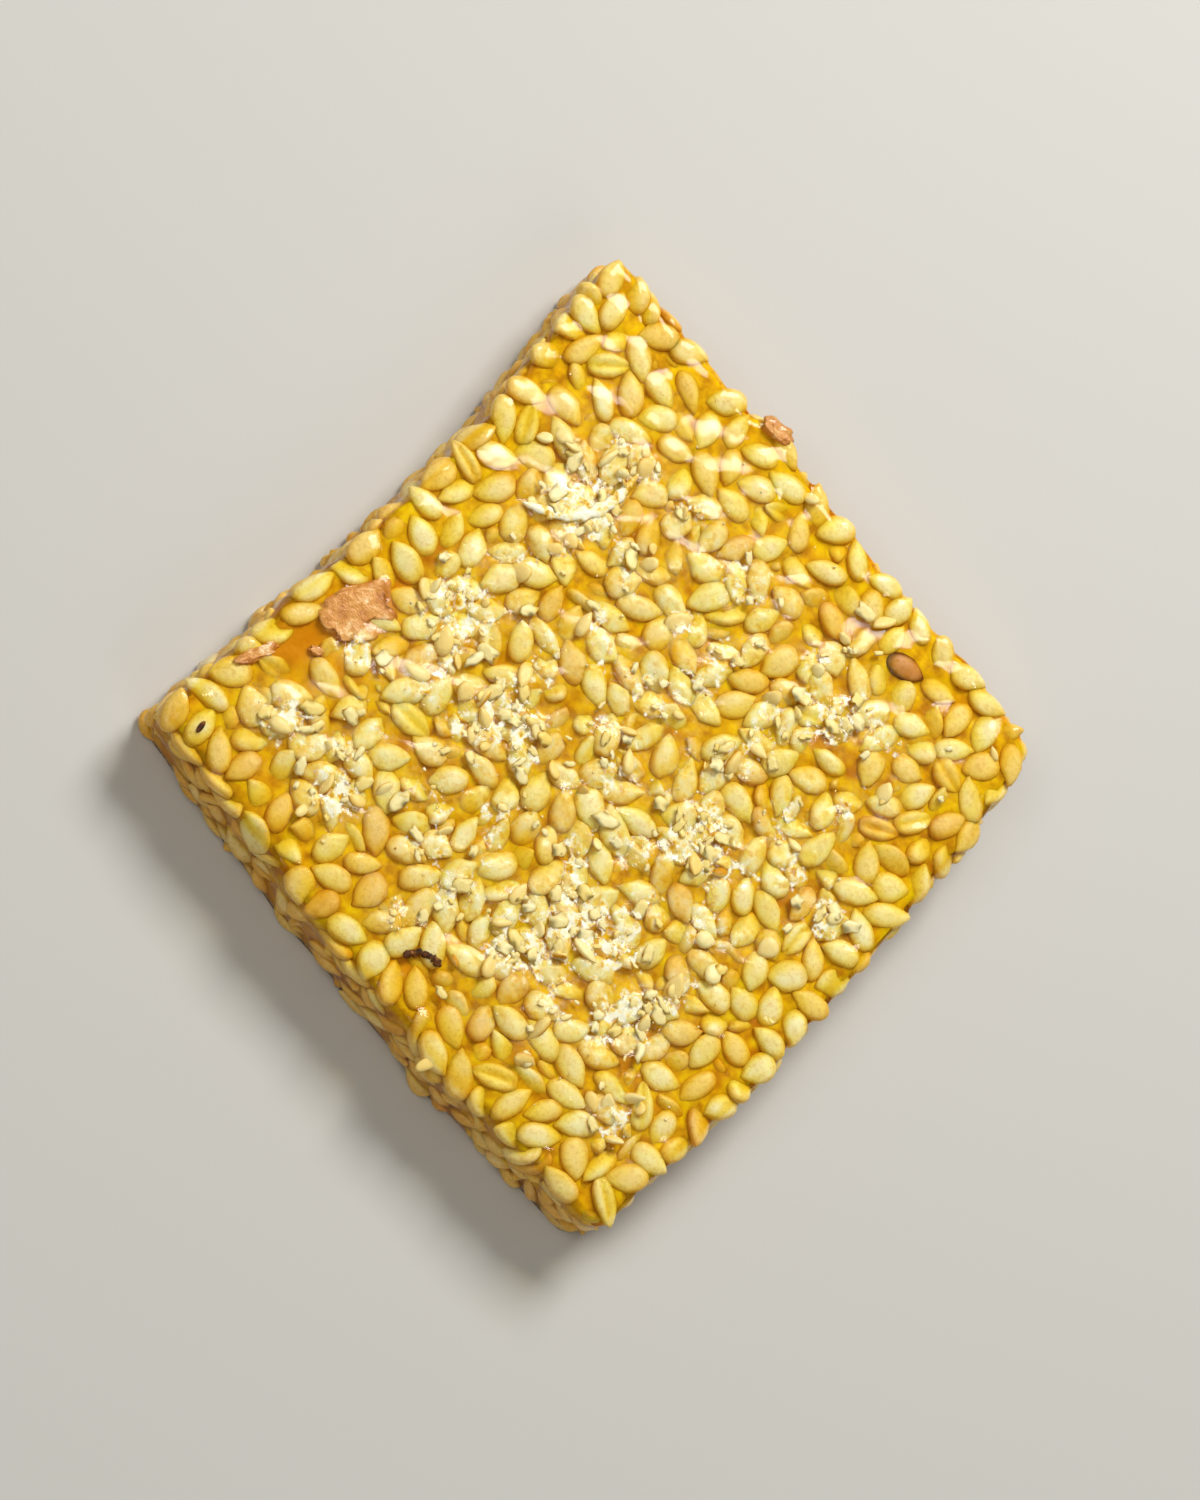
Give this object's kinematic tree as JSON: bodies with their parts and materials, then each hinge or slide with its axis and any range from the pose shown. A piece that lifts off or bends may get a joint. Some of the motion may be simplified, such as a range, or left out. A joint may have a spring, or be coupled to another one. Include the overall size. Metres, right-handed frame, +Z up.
{
  "type": "sesame brittle slab",
  "caption": "Square knife-cut slab of sesame seeds pressed flat in hard amber syrup, with uneven cut sides.",
  "frame": {"origin": "under the middle of the slab's box, on the flat face it rests on", "axes": "+Z up through the thickness, +Y along the longer side, +X across"},
  "size_m": [0.0488, 0.0524, 0.0066],
  "materials": {
    "sesame_syrup": "glossy hard amber syrup packed with cream sesame seeds"
  },
  "bodies": {
    "root": {"slab": "sesame_syrup"}
  },
  "joints": []
}
